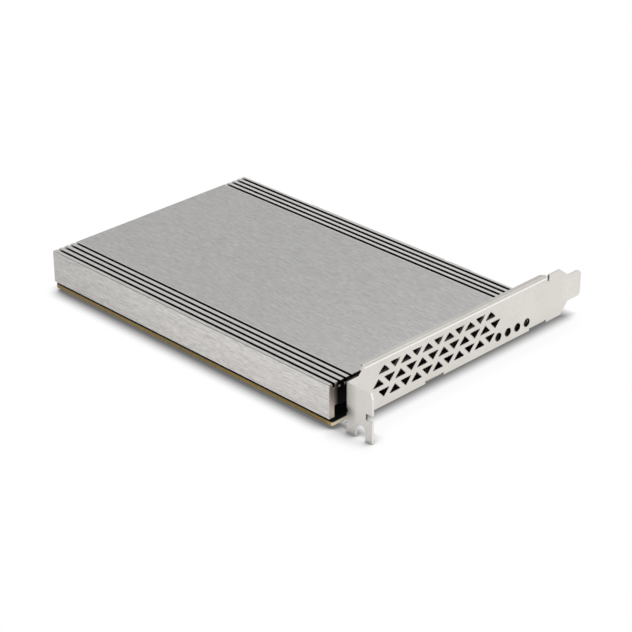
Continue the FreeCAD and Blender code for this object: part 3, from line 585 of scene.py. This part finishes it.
def solder_side_traces():
    """Each bay's lanes leave the slot contacts, turn once and run along the bay to its socket."""
    lines = Solids()
    vias = Solids()
    xs, root_y = contact_places("slot_contacts_solder_side")
    end_x = socket_high[0] + 1.6 * MM
    first_contact = {3: 12, 2: 23, 1: 41, 0: 61}        # of each bay's lanes
    for bay, start in first_contact.items():
        for k, offset in enumerate((8.6, 6.6, -6.6, -8.6)):
            a, b, ground = xs[start + 3 * k:start + 3 * k + 3]
            outward = 1 if offset > 0 else -1
            for side, x_from in ((1, a), (-1, b)):
                x_leg = (a + b) / 2 + side * PAIR
                y_leg = bay_y[bay] + offset * MM + side * PAIR
                corner = 1.6 * MM
                route = [(x_from, root_y + LAP), (x_from, root_y - 0.8 * MM), (x_leg, root_y - 1.3 * MM),
                         (x_leg, y_leg + corner), (x_leg + corner, y_leg)]
                # the two inner pairs even out their length with bends toward the outer pairs
                if side == outward and k in (1, 2):
                    route += bends(x_leg + 6 * MM, y_leg, 0.55 * MM * side, 4 + 2 * bay)
                y_end = y_leg + side * 0.35 * MM
                route += [(end_x - 0.6 * MM, y_leg), (end_x, y_end)]
                lines.track(route, LINE, *under)
                vias.via(end_x + 0.15 * MM, y_end, under, 0.13 * MM, 0.32 * MM)
            ground_contact(lines, vias, ground, root_y, under)
    supply_copper(lines, xs, root_y, under)
    middle_supply = xs[SUPPLY_CONTACTS // 2]
    feed_y = 92.5 * MM
    lines.track([(middle_supply, root_y - 2.0 * MM), (middle_supply, 98.0 * MM),
                 (-48.0 * MM, feed_y), (-26.0 * MM, feed_y)], 3.2 * MM, *under)
    # each supply has a field of vias that stand a little proud of its copper
    proud = (UNDER - COPPER - 0.012 * MM, UNDER)
    for y in bay_y:
        lines.track([(-25.0 * MM, y), (-13.2 * MM, y)], 9.0 * MM, *under)
        for i in range(5):
            for j in range(4):
                vias.via((-14.6 - 2.1 * i) * MM, y + (-3.3 + 2.2 * j) * MM, proud)
    lines.piece("solder_side_traces", masked_copper)
    vias.piece("solder_side_vias", masked_copper)


def component_side_traces():
    """The stretch between the slot contacts and the cooling plate."""
    lines = Solids()
    vias = Solids()
    xs, root_y = contact_places("slot_contacts_component_side")
    hidden_y = plate_high[1] - 1.0 * MM
    chips = [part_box(name) for name in ("clock_buffer", "setup_memory")]
    for i, x in enumerate(xs[SUPPLY_CONTACTS:]):
        # two signal contacts, then a ground contact
        if i % 3 == 2:
            ground_contact(lines, vias, x, root_y, over)
            continue
        x_leg = x + (-0.23, 0.23)[i % 3] * MM
        blocked = any(low[0] - 1.4 * MM < x < high[0] + 1.4 * MM for low, high in chips)
        stop = root_y - 2.6 * MM if blocked else hidden_y
        lines.track([(x, root_y + LAP), (x, root_y - 0.8 * MM), (x_leg, root_y - 1.3 * MM), (x_leg, stop)],
                    LINE, *over)
        if blocked:
            vias.via(x_leg, stop - 0.2 * MM, over, 0.11 * MM, 0.24 * MM)
    supply_copper(lines, xs, root_y, over)
    # the supply runs through the fuse and past the two large capacitors
    fuse_low, fuse_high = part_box("input_fuse")
    fuse_y = middle("input_fuse")[1]
    inlet_x = fuse_low[0] - 0.5 * MM
    lines.track([(inlet_x, root_y - 1.6 * MM), (inlet_x, fuse_y)], 2.6 * MM, *over)
    for name in LARGE_CAPACITORS:
        x, y, _ = middle(name)
        for side in (-1, 1):
            lines.track([(x + side * 2.2 * MM, y), (x + side * 4.0 * MM, y)], 2.4 * MM, *over)
    outlet_y = fuse_y - 5.0 * MM
    lines.track([(-16.0 * MM, outlet_y), (fuse_high[0] + 1.0 * MM, outlet_y)], 1.5 * MM, *over)
    lines.piece("component_side_traces", masked_copper)
    vias.piece("component_side_vias", masked_copper)


def stitching_vias():
    """Ground vias along the outline on both faces, kept clear of screws, holes and contacts."""
    vias = Solids()
    holes = [middle_of(box) for name in ("heat_sink_screws", "bracket_screws") for box in islands(name)]
    holes += [middle("module_post_" + bay) for bay in BAYS]
    clear = 3.9 * MM
    x0, x1 = board_low[0] + 1.3 * MM, board_high[0] - 1.6 * MM
    y0, y1 = board_low[1] + 1.3 * MM, 103.4 * MM
    spots = []
    for i in range(56):
        x = x1 + (x0 - x1) * i / 55
        spots.append((x, y0))
        if x > -40 * MM or x < -141 * MM:
            spots.append((x, y1))
    for i in range(1, 42):
        y = y0 + (y1 - y0) * i / 42
        spots += [(x0, y), (x1, y)]
    # rows between the bays
    for y_a, y_b in zip(bay_y, bay_y[1:]):
        spots += [(x0 + (x1 - x0) * i / 40, (y_a + y_b) / 2) for i in range(2, 12)]
        spots += [(x0 + (x1 - x0) * i / 60, (y_a + y_b) / 2) for i in range(50, 58)]
    for x, y in spots:
        if all(math.hypot(x - hole[0], y - hole[1]) > clear for hole in holes):
            vias.via(x, y, under, 0.16 * MM, 0.38 * MM)
            if y > plate_high[1]:
                vias.via(x, y, over, 0.16 * MM, 0.38 * MM)
    vias.piece("stitching_vias", masked_copper)


# ---------------------------------------------------------------- plated rings, pads and marks
def plated_rings():
    """Bare plated rings round the holes, test pads, and the solder of what passes through the board."""
    rings = Solids()
    pads = Solids()
    bumps = Solids()
    for box in islands("heat_sink_screws") + islands("bracket_screws"):
        x, y, _ = middle_of(box)
        rings.ring(x, y, 1.6 * MM, 3.1 * MM, *under, count=36)
    for bay, y in zip(BAYS, bay_y):
        rings.ring(post_x, y, 1.56 * MM, 2.9 * MM, *under, count=36)
        for x in spare_post_x:
            rings.ring(x, y, 1.52 * MM, 2.7 * MM, *under, count=36)
            rings.ring(x, y, 1.44 * MM, 1.495 * MM, UNDER - COPPER, FACE + COPPER, count=36)
        # locating pegs of the socket, soldered from below
        for side in (-1, 1):
            x_peg, y_peg = (socket_low[0] + socket_high[0]) / 2 - 0.6 * MM, y + side * 9.4 * MM
            rings.ring(x_peg, y_peg, 0.62 * MM, 1.0 * MM, *under, count=24)
            bumps.disc(x_peg, y_peg, UNDER, UNDER - 0.22 * MM, 0.66 * MM, 0.42 * MM)
    # three round targets for the placing machine and two rows of test pads
    for x, y in ((-149.0 * MM, 9.5 * MM), (-17.0 * MM, 24.0 * MM), (-149.0 * MM, 100.5 * MM)):
        pads.disc(x, y, UNDER, UNDER - COPPER, 0.5 * MM)
        rings.ring(x, y, 1.1 * MM, 1.22 * MM, UNDER - COPPER / 2, UNDER + SUNK, count=24)
    for i in range(6):
        x = (-60.0 - 3.0 * i) * MM
        for y in (bay_y[0] + 1.5 * MM, bay_y[3] - 1.5 * MM):
            pads.disc(x, y, UNDER, UNDER - COPPER, 0.45 * MM)
    # legs of the lamp block, soldered from below
    x_leg = -13.3 * MM
    for bay in BAYS:
        for side in (-1, 1):
            y_leg = middle("lamp_" + bay)[1] + side * 1.27 * MM
            rings.ring(x_leg, y_leg, 0.34 * MM, 0.75 * MM, *under)
            bumps.disc(x_leg, y_leg, UNDER, UNDER - 0.55 * MM, 0.62 * MM, 0.26 * MM)
    rings.piece("plated_rings", gold)
    pads.piece("test_pads", gold)
    bumps.piece("solder_joints", solder)


def printed_marks():
    """White outlines, and a plus sign for the polarity of each large capacitor: no lettering."""
    marks = Solids()
    line = 0.16 * MM

    def outline(x0, y0, x1, y1, layer):
        corners = [(x0, y0), (x1, y0), (x1, y1), (x0, y1)]
        for a, b in zip(corners, corners[1:] + corners[:1]):
            marks.track([a, b], line, *layer)

    def circle(x, y, radius, layer):
        marks.ring(x, y, radius, radius + line, *layer, count=40)

    chips = islands("underside_capacitors")
    for y in bay_y:
        row = [chip for chip in chips if abs(middle_of(chip)[1] - y) < 11 * MM]
        x0, x1 = row[0][0][0] - 0.35 * MM, row[0][1][0] + 0.35 * MM
        ends = [value for low, high in row for value in (low[1] - 0.3 * MM, high[1] + 0.3 * MM)]
        outline(x0, min(ends), x1, max(ends), under_ink)
        circle(post_x, y, 3.2 * MM, under_ink)
        for x in spare_post_x:
            circle(x, y, 3.0 * MM, under_ink)
    for box in islands("heat_sink_screws"):
        x, y, _ = middle_of(box)
        circle(x, y, 3.3 * MM, under_ink)
    for name in ("input_fuse", "clock_buffer", "setup_memory"):
        low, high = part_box(name)
        outline(low[0] - 0.7 * MM, low[1] - 0.5 * MM, high[0] + 0.7 * MM, high[1] + 0.5 * MM, over_ink)
    for name in LARGE_CAPACITORS:
        x, y, _ = middle(name)
        marks.ring(x, y, 4.0 * MM, 4.0 * MM + line, *over_ink, count=48)
        x_plus, arm = x - 5.0 * MM, 0.4 * MM
        marks.track([(x_plus - arm, y), (x_plus + arm, y)], line, *over_ink)
        marks.track([(x_plus, y - arm), (x_plus, y + arm)], line, *over_ink)
    marks.piece("printed_outlines", white_print)


# ---------------------------------------------------------------- terminals of the small parts
def terminals():
    """Tinned ends and solder fillets, a little larger than the bodies that they wrap."""
    caps = Solids()
    joints = Solids()

    def wrap(low, high, share, board_z, fillet):
        """Both ends of one body: each cap takes a share of its length, each fillet reaches this far out."""
        axis = 0 if high[0] - low[0] > high[1] - low[1] else 1
        across = 1 - axis
        skin, overlap, inset = 0.012 * MM, 0.05 * MM, 0.03 * MM
        length = (high[axis] - low[axis]) * share
        height = (high[2] - low[2]) * 0.55
        up = 1 if board_z == FACE else -1
        for out in (-1, 1):
            cap_low = [value - skin for value in low]
            cap_high = [value + skin for value in high]
            if out < 0:
                cap_high[axis] = low[axis] + length
                edge = cap_low[axis]
            else:
                cap_low[axis] = high[axis] - length
                edge = cap_high[axis]
            if up > 0:
                cap_low[2] = max(cap_low[2], board_z)
            else:
                cap_high[2] = min(cap_high[2], board_z)
            caps.block(cap_low, cap_high)
            # a wedge of solder from the end face down to the board
            wedge = ((-overlap, 0.0), (fillet, 0.0), (fillet * 0.3, height * 0.4), (-overlap, height))
            rows = []
            for c in (low[across] + inset, high[across] - inset):
                row = []
                for reach, rise in wedge:
                    point = [0.0, 0.0, board_z + up * rise]
                    point[axis] = edge + out * reach
                    point[across] = c
                    row.append(tuple(point))
                rows.append(row)
            joints.loops(rows)

    for name, share, board_z, fillet in (("underside_capacitors", 0.26, UNDER, 0.22 * MM),
                                         ("ceramic_capacitors", 0.26, FACE, 0.22 * MM),
                                         ("polymer_capacitors", 0.12, FACE, 0.35 * MM),
                                         ("input_fuse", 0.20, FACE, 0.40 * MM)):
        for low, high in islands(name):
            wrap(low, high, share, board_z, fillet)
    caps.piece("tinned_ends", tin)
    joints.piece("solder_fillets", solder)


def can_marks():
    """A dark half moon on top of each can."""
    marks = Solids()
    for name in LARGE_CANS:
        low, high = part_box(name)
        x, y, _ = middle(name)
        radius = (high[0] - low[0]) / 2 - 0.45 * MM
        turns = [math.radians(118 + 124 * i / 16) for i in range(17)]
        moon = [(x + radius * math.cos(a), y + radius * math.sin(a)) for a in turns]
        marks.loops([[(px, py, z) for px, py in moon] for z in (high[2] - SUNK, high[2] + 0.006 * MM)])
    marks.piece("can_marks", dark_mark)


solder_side_traces()
component_side_traces()
stitching_vias()
plated_rings()
printed_marks()
terminals()
can_marks()


# ---------------------------------------------------------------- stage, light and camera
# the camera's place, direction, roll in degrees and lens, solved from corners of the photograph
CAMERA_PLACE = (0.39474, -0.41081, 0.33774)
CAMERA_LOOK = (-0.63093, 0.62390, -0.46117)
CAMERA_ROLL = -0.18
CAMERA_LENS = 116.45


def studio_rays(material_nodes, links):
    """1 for camera, mirror and glass rays, 0 for the rays that carry light to the object."""
    path = material_nodes.new("ShaderNodeLightPath")
    total = path.outputs["Is Camera Ray"]
    for name in ("Is Glossy Ray", "Is Transmission Ray"):
        join = material_nodes.new("ShaderNodeMath")
        join.operation = "MAXIMUM"
        links.new(total, join.inputs[0])
        links.new(path.outputs[name], join.inputs[1])
        total = join.outputs[0]
    return total


def make_floor():
    """White paper: it shows as white from afar, and close round the object a shadow is painted into its glow
    from ambient occlusion.
    """
    mesh = bpy.data.meshes.new("floor")
    size = 6.0
    corners = [(-size, -size, 0), (size, -size, 0), (size, size, 0), (-size, size, 0)]
    mesh.from_pydata(corners, [], [(0, 1, 2, 3)])
    floor = bpy.data.objects.new("floor", mesh)
    floor.location = (0, 0, floor_z - 0.02 * MM)
    bpy.context.collection.objects.link(floor)
    s = Shader("floor_paper", roughness=0.9)
    s.set("Base Color", (0.93, 0.93, 0.93, 1.0))
    occlusion = s.nodes.new("ShaderNodeAmbientOcclusion")
    occlusion.samples = 16
    reach = s.spread(s.axis("X"), -12.0 * MM, -8.0 * MM, 8.5 * MM, 13.0 * MM)
    s.links.new(reach, occlusion.inputs["Distance"])
    glow = s.nodes.new("ShaderNodeEmission")
    open_sky = occlusion.outputs["AO"]
    x, y = s.axis("X"), s.axis("Y")
    # painted shadow: in front of the bracket a soft shadow band is painted along the line of its lower edge
    before_face = s.all_of(s.spread(x, -14.5 * MM, -12.5 * MM), s.spread(y, 1.5 * MM, 6.0 * MM))
    round_object = s.most(s.spread(open_sky, 0.42, 0.90, kind="SMOOTHSTEP"), before_face)
    from_edge = s.math("ADD", x, s.spread(y, 113.2 * MM, 122.7 * MM, 0.0, 4.0 * MM))
    beside = s.most(s.spread(y, 0.0, 5.0 * MM, 1.0, 0.0), s.spread(y, 112.5 * MM, 119.0 * MM),
                    s.spread(from_edge, -12.8 * MM, -10.6 * MM, 1.0, 0.0))
    along_face = s.most(s.spread(from_edge, -10.2 * MM, -2.9 * MM, kind="SMOOTHSTEP"), beside)
    lightness = s.math("MINIMUM", round_object, along_face)
    shade = s.mix(lightness, (0.16, 0.16, 0.16), (1.0, 1.0, 1.0))
    s.links.new(shade, glow.inputs["Color"])
    share = s.math("MULTIPLY", studio_rays(s.nodes, s.links), s.spread(open_sky, 0.80, 0.92, 0.90, 1.0))
    blend = s.nodes.new("ShaderNodeMixShader")
    s.links.new(share, blend.inputs["Fac"])
    s.links.new(s.bsdf.outputs[0], blend.inputs[1])
    s.links.new(glow.outputs[0], blend.inputs[2])
    s.links.new(blend.outputs[0], s.nodes["Material Output"].inputs["Surface"])
    floor.data.materials.append(s.material)


def soft_lamp(name, place, aim, width, height, power):
    light = bpy.data.lights.new(name, "AREA")
    light.shape = "RECTANGLE"
    light.size = width
    light.size_y = height
    light.energy = power
    lamp = bpy.data.objects.new(name, light)
    lamp.visible_camera = False
    lamp.location = place
    lamp.rotation_euler = (Vector(aim) - Vector(place)).to_track_quat("-Z", "Y").to_euler()
    bpy.context.collection.objects.link(lamp)


def make_world():
    world = bpy.data.worlds.new("studio")
    bpy.context.scene.world = world
    world.use_nodes = True
    tree = world.node_tree
    background = tree.nodes["Background"]
    # white at the horizon and a pale grey ceiling
    coordinate = tree.nodes.new("ShaderNodeTexCoord")
    split = tree.nodes.new("ShaderNodeSeparateXYZ")
    tree.links.new(coordinate.outputs["Generated"], split.inputs[0])
    ramp = tree.nodes.new("ShaderNodeMapRange")
    ramp.inputs["From Max"].default_value = 0.55
    ramp.inputs["To Min"].default_value = 1.0
    ramp.inputs["To Max"].default_value = 0.74
    tree.links.new(split.outputs["Z"], ramp.inputs["Value"])
    tree.links.new(ramp.outputs[0], background.inputs["Color"])
    level = tree.nodes.new("ShaderNodeMapRange")
    level.inputs["To Min"].default_value = 0.85
    level.inputs["To Max"].default_value = 1.0
    tree.links.new(studio_rays(tree.nodes, tree.links), level.inputs["Value"])
    tree.links.new(level.outputs[0], background.inputs["Strength"])


def make_camera():
    camera_data = bpy.data.cameras.new("camera")
    camera_data.sensor_width = 36.0
    camera_data.lens = CAMERA_LENS
    camera_data.clip_start = 0.01
    camera = bpy.data.objects.new("camera", camera_data)
    look = Vector(CAMERA_LOOK).normalized()
    roll = math.radians(CAMERA_ROLL)
    across = look.cross(Vector((0, 0, 1))).normalized()
    up = across.cross(look)
    right = across * math.cos(roll) + up * math.sin(roll)
    up = right.cross(look)
    turn = Matrix((right, up, -look)).transposed().to_4x4()
    camera.matrix_world = Matrix.Translation(CAMERA_PLACE) @ turn
    bpy.context.collection.objects.link(camera)
    bpy.context.scene.camera = camera


make_floor()
make_world()
# a wide soft light overhead, and a low strip for the long side of the plate
soft_lamp("key", (-0.25, 0.20, 1.6), (-0.07, 0.05, 0.0), 2.2, 2.2, 6.0)
soft_lamp("side", (-0.22, -0.28, 0.006), (0.0, 0.0, 0.006), 0.2, 0.012, 0.24)
make_camera()
bpy.context.scene.view_settings.view_transform = "Standard"
